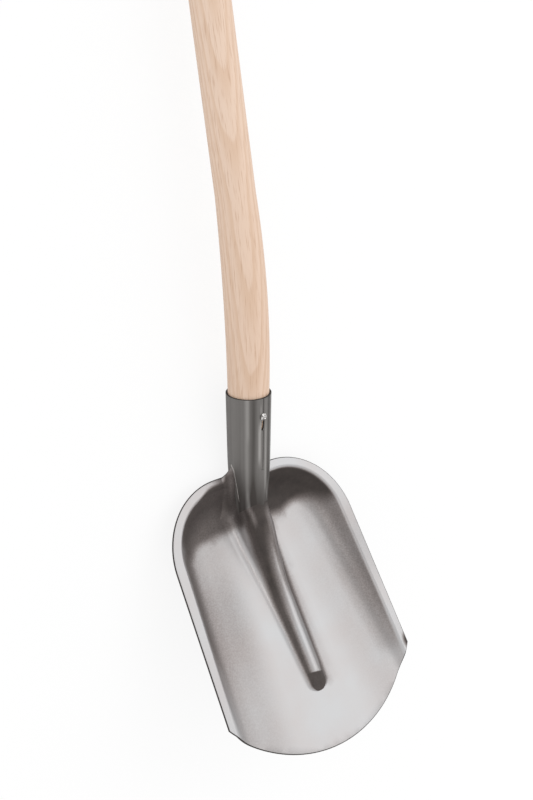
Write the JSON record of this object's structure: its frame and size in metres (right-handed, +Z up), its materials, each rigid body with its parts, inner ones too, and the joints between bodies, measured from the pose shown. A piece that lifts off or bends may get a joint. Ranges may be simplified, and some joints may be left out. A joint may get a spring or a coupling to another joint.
{
  "type": "round-nosed shovel",
  "caption": "Round-nosed shovel with a pressed steel pan with raised sides, a ridge down its middle, a rolled socket and a long bent ash handle held by a nail.",
  "frame": {"origin": "on the floor under the middle of the shovel's overall box, with the shovel lying on its back as it comes to rest", "axes": "+Y from the nose of the blade to the free end of the handle, +Z up out of the pan, +X across the blade"},
  "size_m": [0.25, 1.4621, 0.1273],
  "materials": {
    "blade_steel": "satin, fine-ground sheet with a clear protective film",
    "weld_steel": "weld ground flush",
    "socket_steel": "dull mill finish with draw marks along the socket",
    "nail_steel": "bright drawn wire",
    "handle_ash": "sanded ash, bare"
  },
  "bodies": {
    "root": {"blade": "blade_steel", "neck_weld": "weld_steel", "socket": "socket_steel", "nail": "nail_steel", "handle": "handle_ash"}
  },
  "joints": []
}
